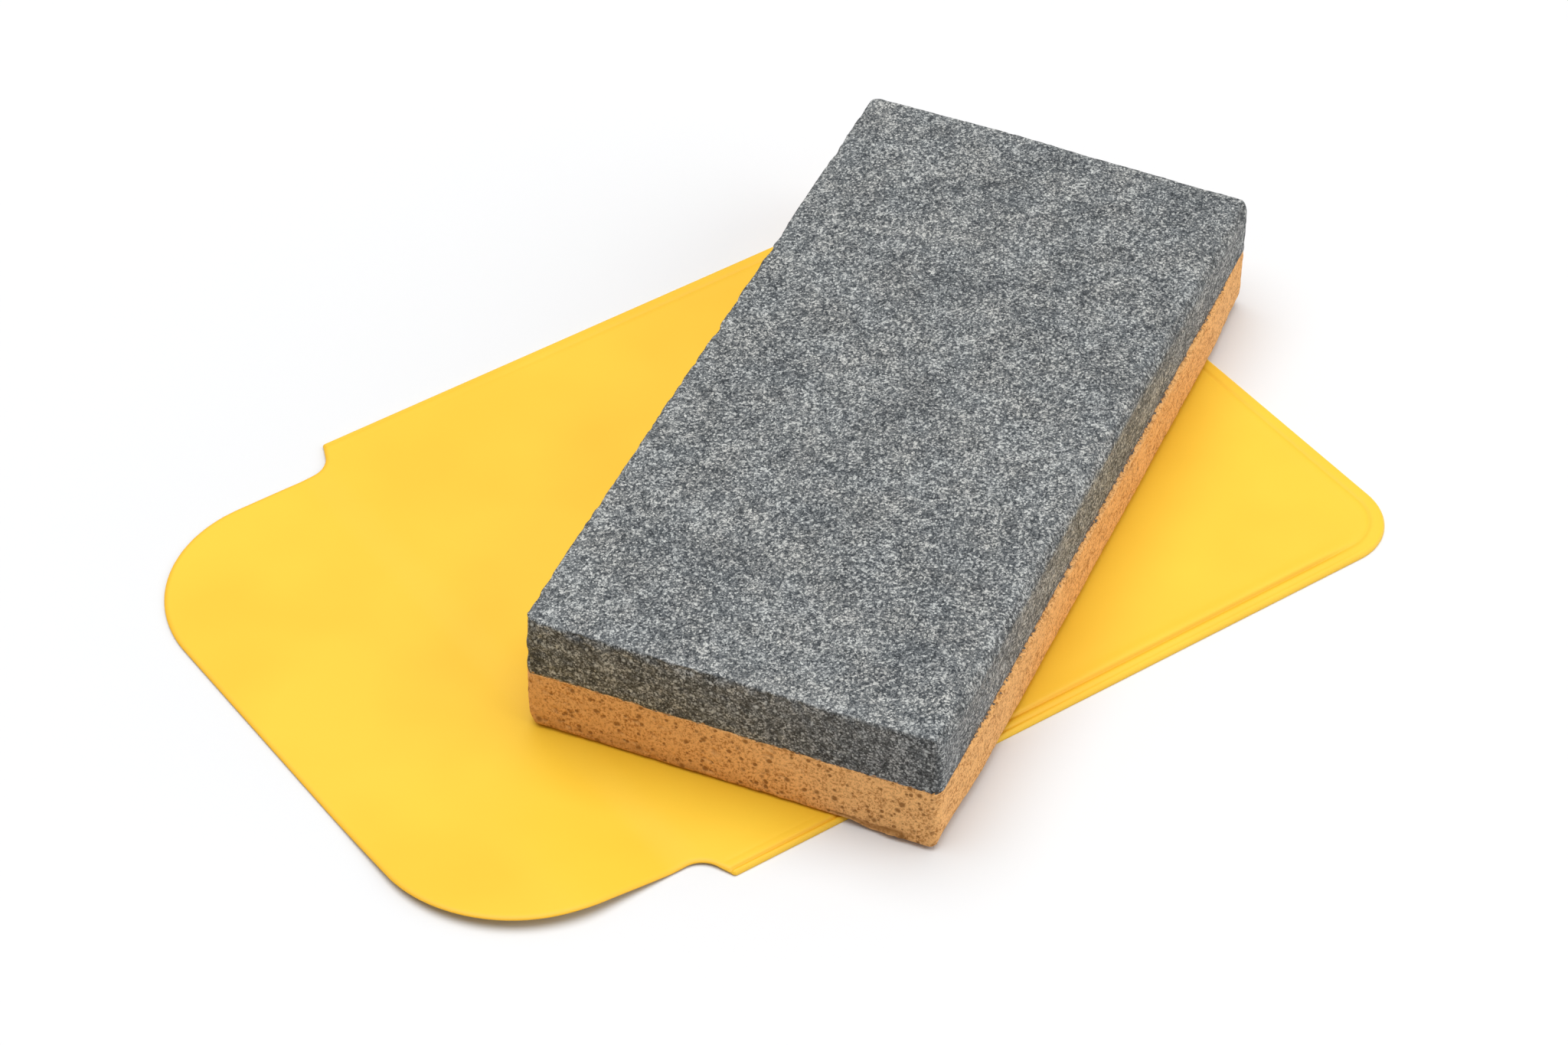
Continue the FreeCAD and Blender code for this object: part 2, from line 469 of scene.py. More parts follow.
def fine_grit_material(settings):
    """Pressed orange-tan aluminium-oxide grit.

    Fine noise makes the grain and slow noise the blotches. Two sizes of cell and the mesh's own
    pits make the open brown pores, and the crack above the near end's lip takes the same dark colour
    as painted shade. The surface is darkened where the mesh says so: low down this is painted
    shade, and on the left half it is soil. Crumbs of the coarse grit stick near the seam.
    """
    nodes = Nodes("fine_grit")
    grain = nodes.noise(0.00028, 3.0, 0.85)
    blotches = nodes.noise(0.0016, 3.0)
    tone = nodes.math(
        "ADD",
        nodes.remap(grain, 0.41, 0.59, 0.0, 0.80),
        nodes.remap(blotches, 0.38, 0.62, 0.0, 0.20),
    )
    light = tuple(settings.fine_colour)
    dark = tuple(channel * share for channel, share in zip(light, (0.52, 0.38, 0.22)))
    pale = tuple(min(channel * 1.18, 1.0) for channel in light)
    colour = nodes.ramp(tone, [(0.0, dark), (0.45, light), (1.0, pale)])
    warp = nodes.remap(grain, 0.3, 0.7, 0.12, -0.12)
    large = pore_cells(nodes, 0.00105, (0.05, 0.27), warp)
    small = pore_cells(nodes, 0.00062, (0.22, 0.35), warp)
    # The mesh's pit value holds the pits and, as painted shade, the crack.
    holes = nodes.math("MAXIMUM", nodes.math("MAXIMUM", large, small), nodes.attribute("pit"))
    shade = nodes.math("MULTIPLY", nodes.math("MULTIPLY", holes, 0.95), nodes.attribute("porous"))
    colour = nodes.mix(shade, colour, (*settings.pore_colour, 1.0))
    patches = nodes.remap(blotches, 0.3, 0.7, 0.2, 0.6)
    # Painted shade low down and soil on the left: a darker brown where the mesh marks it.
    shaded_and_soiled = nodes.math("MULTIPLY", nodes.attribute("shade_and_soil"), patches)
    colour = nodes.mix(shaded_and_soiled, colour, (0.36, 0.155, 0.030, 1.0))
    colour = nodes.mix(seam_crumbs(nodes), colour, (0.10, 0.10, 0.095, 1.0))
    hollows = nodes.bump(nodes.math("SUBTRACT", 1.0, holes), 0.00012, 0.8)
    return nodes.finish(colour, 0.85, 0.25, nodes.bump(grain, 0.00006, 0.6, hollows))


def pore_cells(nodes, spacing, sizes, warp):
    """Fuzzy round pores at the centres of cells of this spacing: 1 inside and 0 outside.

    The cell's own number, over the first of the sizes, sets the pore's radius from 0 to the second
    of the sizes, in cells, and the warp makes its rim uneven.
    """
    distance, cell = nodes.cells(spacing)
    radius = nodes.remap(nodes.channel(cell, "Red"), sizes[0], 1.0, 0.0, sizes[1])
    rim = nodes.math("ADD", nodes.math("SUBTRACT", distance, radius), warp)
    return nodes.remap(rim, -0.09, 0.05, 1.0, 0.0)


def vinyl_material(settings):
    """Satin yellow vinyl: an even colour with the faintest cloudiness, deeper yellow along the pressed
    groove and line as painted shade and along the cut edge as a painted glow of the light through
    it, a soft calendered texture and a few specks of dust."""
    nodes = Nodes("yellow_vinyl")
    clouds = nodes.noise(0.018, 2.0)
    yellow = tuple(settings.vinyl_colour)
    deep = (yellow[0] * 0.97, yellow[1] * 0.93, yellow[2] * 0.80)
    colour = nodes.ramp(clouds, [(0.35, deep), (0.60, yellow)])
    distance, cell = nodes.cells(0.013)
    wanted = nodes.math("GREATER_THAN", nodes.channel(cell, "Blue"), 0.45)
    speck = nodes.remap(distance, 0.008, 0.016, 1.0, 0.0)
    speck = nodes.math("MULTIPLY", nodes.math("MULTIPLY", speck, wanted), 0.55)
    colour = nodes.mix(speck, colour, (0.36, 0.20, 0.02, 1.0))
    # Painted glow: the cut edge is deepened to amber for the light that passes through the vinyl there.
    edge_glow_colour = (yellow[0] * 0.97, yellow[1] * 0.84, yellow[2] * 0.6, 1.0)
    colour = nodes.mix(nodes.attribute("edge"), colour, edge_glow_colour)
    # Painted shade: a deeper yellow along the pressed groove and line.
    groove_shade = (yellow[0] * 0.93, yellow[1] * 0.78, yellow[2] * 0.50, 1.0)
    colour = nodes.mix(nodes.attribute("weld"), colour, groove_shade)
    calender = nodes.noise(0.00035, 2.0, 0.6)
    return nodes.finish(colour, 0.48, 0.40, nodes.bump(calender, 0.000012, 0.5))


def floor_material():
    """Plain white paper sweep."""
    return Nodes("floor_white").finish((0.752, 0.755, 0.760, 1.0), 0.95, 0.0)


# ---------------------------------------------------------------- the stone


CORNER_RADIUS = 0.9  # upright edges
FINE_STEP, WIDE_STEP = 0.2, 0.31  # grid steps near the edges and on the open faces
EDGE_BAND = 2.0  # how far from each edge the fine steps run
CORNER_WEAR = 0.75  # how far the working face is worn down at its far right corner
SIDE_BULGE = 0.40  # how far the fine layer's right-hand side swells at its middle
LIP_OUT = 0.22  # how far the lip at the foot of the near end stands out
LIP_HANG = 0.42  # how far it hangs down
LIP_LINE = 0.5  # mean height of the crack above the lip
LEVEL_TOLERANCE = 1e-6  # a point this near a level is on it
STONE_SEED = 11
SLEEVE_SEED = 83


def interface_height(plan, settings):
    """How far the seam between the grits stands from its mean level, over the plan of the stone:
    two sizes of noise, because each grit was pressed into the other."""
    flat = np.column_stack([plan, np.zeros(len(plan))])
    coarse = layered_noise(flat, 3.2, STONE_SEED + 1, 2)
    fine = layered_noise(flat, 0.75, STONE_SEED + 5, 2)
    return settings.seam_waviness / MM * (0.50 * coarse + 0.50 * fine)


def rounded_block(place, low, high, face, edge_radius):
    """A block between two levels with rounded uprights and one rounded working face.

    It starts as a box surface. In plan, the square rings of each corner are carried to circles.
    Then, in the section of each edge of the working face, the inset from the outline and the depth
    below the face are carried from a square corner to a round one in the same way.
    Returns the points, the faces, the depth below the working face and the distance from the
    nearest edge.
    """
    half_u, half_v = place.half_length, place.half_width
    u_line = grid_line(half_u, EDGE_BAND, FINE_STEP, WIDE_STEP)
    v_line = grid_line(half_v, EDGE_BAND, FINE_STEP, WIDE_STEP)
    w_line = np.linspace(low, high, round((high - low) / FINE_STEP) + 1)
    points, quads = box_surface(u_line, v_line, w_line)
    u, v, w = points.T
    depth = np.abs(w - face)
    inset_u, inset_v = half_u - np.abs(u), half_v - np.abs(v)
    inset = np.minimum(inset_u, inset_v)
    from_edge = np.sort(np.stack([inset_u, inset_v, depth]), axis=0)[1]
    corner_u = np.maximum(CORNER_RADIUS - inset_u, 0)
    corner_v = np.maximum(CORNER_RADIUS - inset_v, 0)
    in_corner = (corner_u > 0) & (corner_v > 0)
    round_u, round_v = square_to_disc(corner_u, corner_v)
    u = np.where(in_corner, np.sign(u) * (half_u - CORNER_RADIUS + round_u), u)
    v = np.where(in_corner, np.sign(v) * (half_v - CORNER_RADIUS + round_v), v)
    length = np.maximum(np.hypot(round_u, round_v), 1e-9)
    out_u = np.where(in_corner, round_u / length, inset_u <= inset_v) * np.sign(points[:, 0])
    out_v = np.where(in_corner, round_v / length, inset_u > inset_v) * np.sign(points[:, 1])
    radius = edge_radius(out_u, out_v)
    edge_in = np.maximum(radius - inset, 0)
    edge_down = np.maximum(radius - depth, 0)
    on_edge = (edge_in > 0) & (edge_down > 0)
    round_in, round_down = square_to_disc(edge_in, edge_down)
    shift = np.where(on_edge, round_in - edge_in, 0)
    drop = np.where(on_edge, round_down - edge_down, 0)
    towards_face = 1.0 if face > low else -1.0
    points = np.column_stack([u + out_u * shift, v + out_v * shift, w + towards_face * drop])
    return points, quads, depth, from_edge


def follow_seam(points, seam, settings):
    """Moves the levels near the seam up and down with it, fading out 1.5 mm away from it."""
    reach = 1.5
    weight = smooth(1 - np.abs(points[:, 2] - seam) / reach)
    lifted = points.copy()
    lifted[:, 2] += weight * interface_height(points[:, :2], settings)
    return lifted


def coarse_layer(place, settings):
    """The coarse layer's points in the stone's axes, its faces and its shading attributes.

    Roughness is noise along the normal, weaker on the lapped face. Chips are bites out of the
    edges: where two sizes of noise are high, the surface steps inwards by a share of the ragged
    depth that fades over 0.8 mm from the edge. The near end is chipped the most and the far end the
    least. The edge on the right-hand side is worn rounder than the rest, and the face slopes down
    towards its far right corner.
    """
    low, high = place.middle, place.top

    def worn(out_u, out_v):
        """The working face's edge radius, which grows with the square of facing right."""
        return 0.22 + 1.10 * np.maximum(-out_v, 0) ** 2

    points, quads, depth, from_edge = rounded_block(place, low, high, high, worn)
    normals = corner_normals(points, quads)
    lapped = smooth((normals[:, 2] - 0.55) / 0.4)
    near_edge = np.exp(-from_edge / 0.8)
    ragged = settings.ragged_edge / MM
    bites = np.maximum(layered_noise(points, 1.6, STONE_SEED + 20) - 0.05, 0) * 1.4
    nicks = np.maximum(value_noise(points, 0.7, STONE_SEED + 30), 0) * 0.9
    rough = layered_noise(points, 0.7, STONE_SEED + 40, 2)
    broad = layered_noise(points, 9.0, STONE_SEED + 50, 2)
    far_end = smooth((points[:, 0] - place.half_length + 2.0) / 2.0)
    near_end = smooth((2.0 - place.half_length - points[:, 0]) / 2.0)
    calm = 1 - 0.7 * far_end + 0.9 * near_end
    push = -ragged * near_edge * (bites + nicks) * calm
    push += rough * (0.055 - 0.030 * lapped) + broad * (0.07 - 0.05 * lapped)
    on_seam = (normals[:, 2] < -0.7) & (depth > high - low - LEVEL_TOLERANCE)
    push = np.where(on_seam, 0, push)
    points = follow_seam(points, low, settings)
    points += normals * push[:, None]
    points[:, 2] -= CORNER_WEAR * worn_corner(place, points) * (points[:, 2] - low) / (high - low)
    # Painted highlight: the right-hand side gets part of the lapped face's paler colouring, for the light
    # that falls on that side.
    lit_side_share = 0.70 * np.maximum(-normals[:, 1], 0) ** 2
    attributes = {
        "lapped": np.maximum(lapped, lit_side_share),
        # edge: where the working face is painted paler, partly wear and partly painted highlight.
        "edge": near_edge * lapped,
        "seam": high - low - depth,
    }
    return points, quads, attributes


def worn_corner(place, points):
    """How far the working face is worn towards its far right corner, from 0 to 1: one ease along
    the stone times one across it."""
    along = smooth((points[:, 0] - 4.0) / (place.half_length - 4.0))
    return along * smooth((place.half_width * 0.6 - points[:, 1]) / (place.half_width * 1.6))


def fine_layer(place, settings):
    """The fine layer's points in the stone's axes, its faces and its shading attributes.

    The moulded sides have slow and quick noise, and scattered round pits of two sizes, and the
    right-hand side swells at its middle. Where the near end overhangs the sleeve, a thin lip of
    squeezed-out grit stands proud and hangs at its foot, with a shallow crack just above it. The
    surface is marked darker low down, most on the left half, and on the left of the near end: low
    down this is painted shade where the stone meets the sleeve, and the rest is soil. Nothing but
    the lip goes below the bottom.
    """
    low, high = place.bottom, place.middle

    def soft(out_u, out_v):
        """The bottom edge's radius: larger on the long sides and at the near end's left corner."""
        return 0.60 + 0.70 * out_v**2 + 1.2 * np.maximum(-out_u, 0) * np.maximum(out_v, 0)

    points, quads, depth, from_edge = rounded_block(place, low, high, low, soft)
    normals = corner_normals(points, quads)
    sides = smooth(1 - np.abs(normals[:, 2]) / 0.8)
    large = pits(points, 1.5, 0.34, STONE_SEED + 60, 0.85)
    small = pits(points, 0.85, 0.22, STONE_SEED + 65, 0.85)
    holes = np.maximum(large, 0.7 * small) * sides
    rough = layered_noise(points, 0.6, STONE_SEED + 70, 2)
    broad = layered_noise(points, 6.0, STONE_SEED + 80, 2)
    near_edge = np.exp(-from_edge / 0.9)
    wear = np.maximum(layered_noise(points, 2.4, STONE_SEED + 90), 0)
    crack, lip, hang = crack_and_lip(place, points, depth)
    push = 0.045 * rough + 0.05 * broad - 0.20 * holes - 0.16 * crack + lip
    push -= 0.22 * near_edge * wear
    middle = smooth((place.half_length - np.abs(points[:, 0])) / 12.0)
    push += SIDE_BULGE * (np.maximum(-normals[:, 1], 0) * middle)
    push = np.where(normals[:, 2] < -0.5, np.minimum(push, 0), push)
    on_seam = (normals[:, 2] > 0.7) & (depth > high - low - LEVEL_TOLERANCE)
    push = np.where(on_seam, 0, push)
    points = follow_seam(points, high, settings)
    points += normals * push[:, None]
    points[:, 2] = np.maximum(points[:, 2], low) - hang
    from_right = points[:, 1] + place.half_width
    left = smooth(from_right / place.half_width - 0.7)
    near_end = np.maximum(-normals[:, 0], 0)
    # Painted shade low down, where the stone meets the sleeve, with soil on the left half and on the left
    # of the near end.
    shade_and_soil = smooth((2.2 - depth) / 2.0) * (0.35 + 0.65 * left) + 0.45 * left * near_end
    shade_and_soil = np.minimum(shade_and_soil, 1)
    attributes = {
        # The crack is darkened with the pore colour as painted shade in the crease.
        "pit": np.maximum(0.75 * holes, crack),
        "seam": high - low - depth,
        "shade_and_soil": shade_and_soil,
        "porous": 1 - 0.6 * np.maximum(-normals[:, 1], 0),
    }
    return points, quads, attributes


def crack_and_lip(place, points, depth):
    """The crack, 0 to 1 deep, and how far the lip stands out and hangs down, in millimetres.

    Both follow a line above the bottom of the near end that wanders a little. The crack is a hump
    across the line, from 2 mm to 11 mm from the right-hand corner. The lip lies below the line,
    from that corner to where the sleeve begins, and eases in over 1.2 mm along the stone.
    """
    across = points[:, 1]
    on_end = smooth((0.9 - place.half_length - points[:, 0]) / 0.7)
    wander = 0.16 * layered_noise(points * (1, 1, 0), 2.5, STONE_SEED + 95, 2)
    line = LIP_LINE + wander
    from_right = across + place.half_width
    cracked = smooth((from_right - 2.0) / 2.0) * smooth((11.0 - from_right) / 2.0)
    crack = bell(depth, line, 0.16) * cracked * on_end
    run = smooth((8.2 - from_right) / 2.0)
    lip = LIP_OUT * run * smooth((line - depth) / 0.25) * on_end
    near_end = smooth((1.8 - place.half_length - points[:, 0]) / 1.2)
    hang = LIP_HANG * run * near_end * smooth((0.9 - depth) / 0.8)
    return crack, lip, hang


# ---------------------------------------------------------------- the sleeve


END_CORNER = 6.0  # outer radius of the closed end's corners
FLAP_CORNER = 13.3
SHOULDER_ROUND = 2.4  # hollow radius where the neck meets the shoulder
SHOULDER_RUN = 1.2  # how far the shoulder leans out towards the flap
MOUTH_NIB = 0.35  # radius of the mouth's outer corners
FLAP_DROOP = -0.18  # how far the flap sinks past the mouth
GROOVE_INSET = 1.45  # from the rim to the pressed groove
LINE_INSET = 0.52  # from the rim to the finer pressed line outside it
FLOOR_GAP = 0.012  # the back sheet's least height
LEAST_THICKNESS = 0.08  # where the groove is deepest
RIM_INSETS = (0.0, 0.012, 0.035, 0.07, 0.12, 0.19, 0.28, 0.38, 0.47, 0.56, 0.65, 0.74, 0.84, 0.94,
              1.04, 1.14, 1.23, 1.31, 1.38, 1.45, 1.52, 1.59, 1.66, 1.74, 1.83, 1.93, 2.05, 2.2,
              2.4, 2.65, 2.95, 3.3, 3.7)


def arc(centre, radius, start, stop, count=40):
    """Points on an arc, from one angle to another, in degrees."""
    angle = np.radians(np.linspace(start, stop, count))
    return np.column_stack([centre[0] + radius * np.cos(angle), centre[1] + radius * np.sin(angle)])


def hollow_fillet(first, corner, last, radius, count=30):
    """The arc that rounds the corner between two straight runs: its centre is on the bisector,
    and it touches each run at radius * tan(half the turn) from the corner."""
    before = (corner - first) / np.linalg.norm(corner - first)
    after = (last - corner) / np.linalg.norm(last - corner)
    turn = math.atan2(before[0] * after[1] - before[1] * after[0], before @ after)
    touch = corner - before * radius * math.tan(abs(turn) / 2)
    side = math.copysign(1.0, turn)
    centre = touch + side * radius * np.array([-before[1], before[0]])
    begin = math.atan2(*(touch - centre)[::-1])
    angle = begin + np.linspace(0, turn, count)
    return centre + radius * np.column_stack([np.cos(angle), np.sin(angle)])


def half_outline(place):
    """The far half of the sleeve's outline from the flap's tip to the closed end, as (x, y)."""
    tip_centre = (place.tip_x + FLAP_CORNER, place.half_flap - FLAP_CORNER)
    neck_start = np.array([tip_centre[0], place.half_flap])
    shoulder = np.array([place.mouth_x - SHOULDER_RUN, place.half_flap])
    mouth = np.array([place.mouth_x, place.half_shoulder])
    nib = (place.mouth_x + MOUTH_NIB, place.half_width - MOUTH_NIB)
    end_centre = (place.end_x - END_CORNER, place.half_width - END_CORNER)
    return np.concatenate(
        [
            arc(tip_centre, FLAP_CORNER, 180, 90),
            hollow_fillet(neck_start, shoulder, mouth, SHOULDER_ROUND),
            arc(nib, MOUTH_NIB, 180, 90, 10),
            arc(end_centre, END_CORNER, 90, 0),
        ]
    )


def column_places(place, outline, start_x):
    """The sheet's grid lines across it: the outline's own points, fine steps at both ends and round
    the fold, and steps of 1 mm between."""
    bands = np.array(RIM_INSETS)
    fold = np.arange(place.fold_x - 3.0, place.fold_x + 3.0, 0.22)
    every = np.concatenate(
        [
            outline[:, 0],
            start_x + bands,
            place.end_x - bands,
            fold,
            np.arange(start_x, place.end_x, 1.0),
        ]
    )
    every = np.sort(every[(every >= start_x) & (every <= place.end_x)])
    keep = np.concatenate([[True], np.diff(every) > 0.004])
    return every[keep]


def sheet_grid(columns, half_widths):
    """A grid over an outline that is symmetric about the X axis.

    Along each column, the outer lines keep fixed insets from the edge, so that the rim's section
    stays true, and the inner lines share the rest evenly.
    """
    insets = np.array(RIM_INSETS)
    inner = np.linspace(-1, 1, 56)[1:-1]
    core = half_widths[:, None] - insets[-1]
    low = -half_widths[:, None] + insets
    high = half_widths[:, None] - insets[::-1]
    y = np.concatenate([low, core * inner, high], axis=1)
    x = np.repeat(columns[:, None], y.shape[1], axis=1)
    return x, y


def closed_sheet(x, y, z_low, z_high):
    """Two grids over one outline, the upper facing up and the lower facing down, which share the
    points of their common edge. At the edge the two heights are the same. Returns the points, the
    faces and each point's place in the flattened grid."""
    rows, lines = x.shape
    upper = np.arange(rows * lines).reshape(rows, lines)
    edge = np.ones_like(upper, bool)
    edge[1:-1, 1:-1] = False
    lower = np.where(edge, upper, 0)
    lower[~edge] = rows * lines + np.arange((~edge).sum())
    points = np.concatenate(
        [
            np.column_stack([x.ravel(), y.ravel(), z_high.ravel()]),
            np.column_stack([x[~edge], y[~edge], z_low[~edge]]),
        ]
    )

    def ring(grid):
        """The four corners of every face, in turn."""
        return grid[:-1, :-1], grid[1:, :-1], grid[1:, 1:], grid[:-1, 1:]

    top = np.stack([corner.ravel() for corner in ring(upper)], axis=1)
    bottom = np.stack([corner.ravel() for corner in ring(lower)[::-1]], axis=1)
    places = np.concatenate([np.arange(upper.size), np.flatnonzero(~edge)])
    return points, np.concatenate([top, bottom]), places


def outline_inset(x, y, outline):
    """How far each grid point is from the nearest of the outline's points, both halves, in blocks
    of rows to keep the arrays small. The grid's own border lies on the outline, so it is 0."""
    both = np.concatenate([outline, outline * (1, -1)])
    places = np.stack([x.ravel(), y.ravel()], axis=1)
    blocks = np.array_split(places, 40)
    near = [np.sqrt(((block[:, None] - both) ** 2).sum(-1).min(1)) for block in blocks]
    inset = np.concatenate(near).reshape(x.shape)
    inset[[0, -1], :] = 0
    inset[:, [0, -1]] = 0
    return inset


def dense(outline, step=0.05):
    """The outline with points added so that none are further apart than the step, closed across
    both ends to the X axis."""
    ends = np.vstack([outline[:1] * (1, 0), outline, outline[-1:] * (1, 0)])
    length = np.concatenate([[0], np.cumsum(np.linalg.norm(np.diff(ends, axis=0), axis=1))])
    along = np.linspace(0, length[-1], round(length[-1] / step))
    return np.column_stack([np.interp(along, length, ends[:, axis]) for axis in range(2)])


def rim_inset(place, x, y):
    """The inset from the welded rim: the distance inside a rounded rectangle whose mouth end is
    left open by carrying it far past the flap."""
    over_x = x - (place.end_x - END_CORNER)
    over_y = np.abs(y) - (place.half_width - END_CORNER)
    outside = np.hypot(np.maximum(over_x, 0), np.maximum(over_y, 0))
    inside = np.minimum(np.maximum(over_x, over_y), 0)
    return END_CORNER - outside - inside


def round_edge(inset, radius):
    """How full the sheet's half thickness is near its edge: a quarter circle of this radius."""
    t = np.clip(1 - inset / radius, 0, 1)
    return np.sqrt(1 - t * t)


def bell(value, centre, width):
    """A smooth hump of height 1: exp(-((value - centre) / width)^2)."""
    return np.exp(-(((value - centre) / width) ** 2))


def back_sheet_heights(place, stone, settings, x, y, inset):
    """The back sheet's lower and upper heights, how much painted shade the pressed groove and line
    get, and how far it is welded, both from 0 to 1.

    In the pocket it lies on the front sheet, puffed up a little away from the stone. Towards the
    welds the section goes over a shoulder, down into the pressed groove, up to a bead and down
    into a finer line near the rim. The groove is the deeper of the two towards the closed end and
    the line towards the mouth, and both are strongest on the near side. In the weld the sheet
    fills the whole thickness. Past the mouth the flap droops, and its near corner lifts.
    """
    grid = np.column_stack([x.ravel(), y.ravel(), np.zeros(x.size)])
    sheet = place.top - place.back_bottom
    rim = rim_inset(place, x, y)
    in_pocket = smooth((x - place.mouth_x + 0.6) / 1.2)
    free = smooth((stone.outside(x, y) - 0.5) / 6.0)
    waves = layered_noise(grid, 26.0, SLEEVE_SEED, 2).reshape(x.shape)
    flap_share = smooth((place.mouth_x - 0.5 - x) / 4.0)
    near = smooth((-y - 6.0) / 24.0)
    past_fold = smooth((place.fold_x + 2.0 - x) / 12.0)
    lift = settings.flap_lift / MM * past_fold * near
    droop = FLAP_DROOP * flap_share
    crease = -0.02 * bell(x, place.fold_x, 1.2)
    lower = place.back_bottom + lift + droop + crease
    upper = lower + sheet
    slack = smooth((x - place.mouth_x - 1.0) / 12.0) * free * (0.07 + 0.09 * waves)
    puff = slack * smooth((rim - 2.0) / 6.0)
    near_side = smooth((-y - 10.0) / 10.0) * smooth((place.end_x - 5.0 - x) / 6.0)
    strong = (0.25 + 0.75 * near_side) * in_pocket
    to_end = smooth((x + 15.0) / 35.0)
    inner, outer = 0.08 + 0.92 * to_end, 1.0 - 0.80 * to_end
    depth = settings.weld_depth / MM
    groove = -1.1 * depth * inner * bell(rim, GROOVE_INSET, 0.20)
    line = -0.80 * depth * outer * bell(rim, LINE_INSET, 0.15)
    bead = 0.10 * depth * inner * bell(rim, 0.98, 0.20)
    shoulder = 0.30 * depth * inner * bell(rim, 2.15, 0.50) * free
    upper += strong * (groove + line + bead + shoulder) + puff
    lower += puff
    welded = in_pocket * smooth((place.weld_width - rim) / 0.25)
    lower = lower * (1 - welded) + FLOOR_GAP * welded
    lower = np.maximum(lower, FLOOR_GAP)
    upper = np.maximum(upper, lower + LEAST_THICKNESS)
    edge = lower + (upper - lower) * 0.10
    over = edge + (upper - edge) * round_edge(inset, 0.45)
    under = edge - (edge - lower) * round_edge(inset, 0.05)
    # Painted shade along the pressed groove and line, strongest on the near side.
    groove_shade_bands = inner * bell(rim, GROOVE_INSET, 0.26) + outer * bell(rim, LINE_INSET, 0.20)
    groove_shade = strong * groove_shade_bands
    return under, over, np.clip(groove_shade, 0, 1), welded


def back_sheet(place, stone, settings):
    """The back sheet with its flap and its welded rim: one closed sheet over the whole outline."""
    outline = half_outline(place)
    columns = column_places(place, outline, place.tip_x)
    half_widths = np.interp(columns, outline[:, 0], outline[:, 1])
    x, y = sheet_grid(columns, half_widths)
    inset = outline_inset(x, y, dense(outline))
    z_low, z_high, groove_shade, welded = back_sheet_heights(place, stone, settings, x, y, inset)
    area = 2 * np.trapz(half_widths, columns)
    points, quads, places = closed_sheet(x, y, z_low, z_high)
    # Painted glow along the cut edge, for light passing through the sheet's edge, weaker on the welded
    # rim.
    edge = (1 - smooth(inset / 0.5)) * (1 - 0.8 * welded)
    # The weld value carries the painted shade of the pressed groove and line.
    return points, quads, area, {"edge": edge.ravel()[places], "weld": groove_shade.ravel()[places]}


def front_sheet(place):
    """The front sheet, face down inside the welds: flat, with its mouth edge straight."""
    reach = place.end_x - place.weld_width
    half = place.half_width - place.weld_width
    radius = END_CORNER - place.weld_width
    corner = arc((reach - radius, half - radius), radius, 90, 0)
    outline = np.vstack([[place.mouth_x, half], corner])
    bands = np.array(RIM_INSETS)
    every = np.concatenate(
        [corner[:, 0], place.mouth_x + bands, reach - bands, np.arange(place.mouth_x, reach, 1.0)]
    )
    columns = np.unique(np.round(every, 3))
    columns[0], columns[-1] = place.mouth_x, reach
    half_widths = np.interp(columns, outline[:, 0], outline[:, 1])
    x, y = sheet_grid(columns, half_widths)
    inset = outline_inset(x, y, dense(outline))
    half_thick = place.front_top / 2
    fullness = round_edge(inset, 0.12)
    heights = half_thick * (1 - fullness), half_thick * (1 + fullness)
    area = 2 * np.trapz(half_widths, columns)
    points, quads, _ = closed_sheet(x, y, *heights)
    return points, quads, area


# ---------------------------------------------------------------- settings


def length_setting(name, description, default):
    """A length setting, in metres."""
    return FloatProperty(name=name, description=description, default=default, unit="LENGTH")


def angle_setting(name, description, degrees):
    """An angle setting, whose default is given in degrees."""
    default = math.radians(degrees)
    return FloatProperty(name=name, description=description, default=default, subtype="ANGLE")


def colour_setting(name, description, default):
    """A colour setting."""
    return FloatVectorProperty(
        name=name, description=description, default=default, subtype="COLOR", min=0.0, max=1.0
    )


def strength_setting(name, description, default):
    """A light's strength."""
    return FloatProperty(name=name, description=description, default=default, min=0.0)


class StoneSettings(PropertyGroup):
    """Sizes and colours of the stone."""

    grain_size: length_setting("Grain Size", "Width of one coarse grain", 0.00018)
    ragged_edge: length_setting("Ragged Edge", "Depth of the chips along the coarse edges", 0.00022)
    seam_waviness: length_setting("Seam Waviness", "How far the seam wanders up and down", 0.00024)
    fine_colour: colour_setting("Fine Grit", "Colour of the fine grit", (0.77, 0.410, 0.150))
    pore_colour: colour_setting("Pores", "Colour inside the fine grit's pores", (0.29, 0.120, 0.026))


class SleeveSettings(PropertyGroup):
    """Sizes and colour of the vinyl sleeve."""

    weld_depth: length_setting("Weld Depth", "Depth of the groove pressed along the welds", 0.00022)
    flap_lift: length_setting("Flap Lift", "How far the flap's near corner stands off the floor", 0.00100)
    vinyl_colour: colour_setting("Vinyl", "Colour of the vinyl", (0.87, 0.545, 0.034))


class StageSettings(PropertyGroup):
    """The camera and the light."""

    aim: FloatVectorProperty(
        name="Aim",
        description="Point on the floor that the camera looks at",
        subtype="XYZ",
        unit="LENGTH",
        default=(0.00365, 0.00051, 0.0),
    )
    distance: length_setting("Distance", "From the aim to the camera", 0.438)
    azimuth: angle_setting("Azimuth", "Turn of the view about Z, where 0 looks along +Y", -35.84)
    elevation: angle_setting("Elevation", "How far the camera looks down", 42.31)
    roll: angle_setting("Roll", "Turn of the camera about its own line of sight", 0.70)
    lens: FloatProperty(
        name="Lens", description="Focal length in millimetres", default=110.6, min=1.0
    )
    sky: strength_setting("Sky", "Strength of the even white surroundings", 0.33)
    key: strength_setting("Overhead Softbox", "Strength of the large light above the stone", 2.75)
    side: strength_setting("Side Softbox", "Strength of the light on the stone's long side", 1.10)


# ---------------------------------------------------------------- operators


